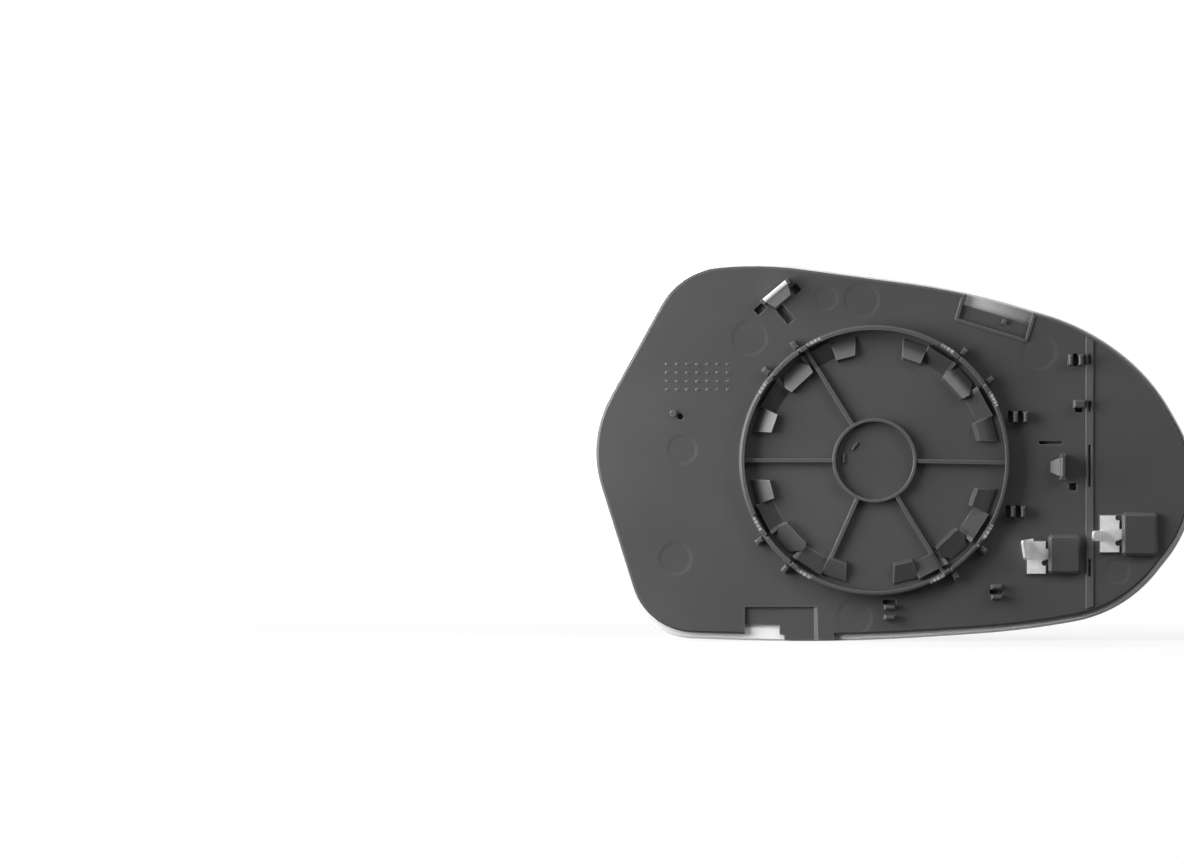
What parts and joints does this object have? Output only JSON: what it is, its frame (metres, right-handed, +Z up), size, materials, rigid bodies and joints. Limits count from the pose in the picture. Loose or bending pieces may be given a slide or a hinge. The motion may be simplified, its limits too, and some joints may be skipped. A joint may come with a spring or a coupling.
{
  "type": "car door mirror glass",
  "caption": "Convex car door mirror glass bonded to a moulded carrier, with a snap collar for the tilt actuator, a heater film, blade terminals and spring clips.",
  "frame": {"origin": "on the axis of the snap collar, in the plane of the collar's rim", "axes": "-Y out of the collar's mouth, towards the actuator; +Y out of the mirror face; +Z up; +X to the rounded outer end"},
  "size_m": [0.1958, 0.0167, 0.1226],
  "materials": {
    "carrier_plastic": "dark grey moulded plastic with a fine grain",
    "mirror_glass": "convex mirror glass with a ground edge",
    "heater_film": "black printed film",
    "tinned_sheet": "tinned sheet metal",
    "spring_steel": "bright spring steel"
  },
  "bodies": {
    "root": {"carrier_plate": "carrier_plastic", "mirror_glass": "mirror_glass", "heater_film": "heater_film", "inner_terminal": "tinned_sheet", "outer_terminal": "tinned_sheet", "retaining_spring": "spring_steel", "upper_spring_clip": "spring_steel", "outer_spring_clip": "spring_steel"}
  },
  "joints": []
}
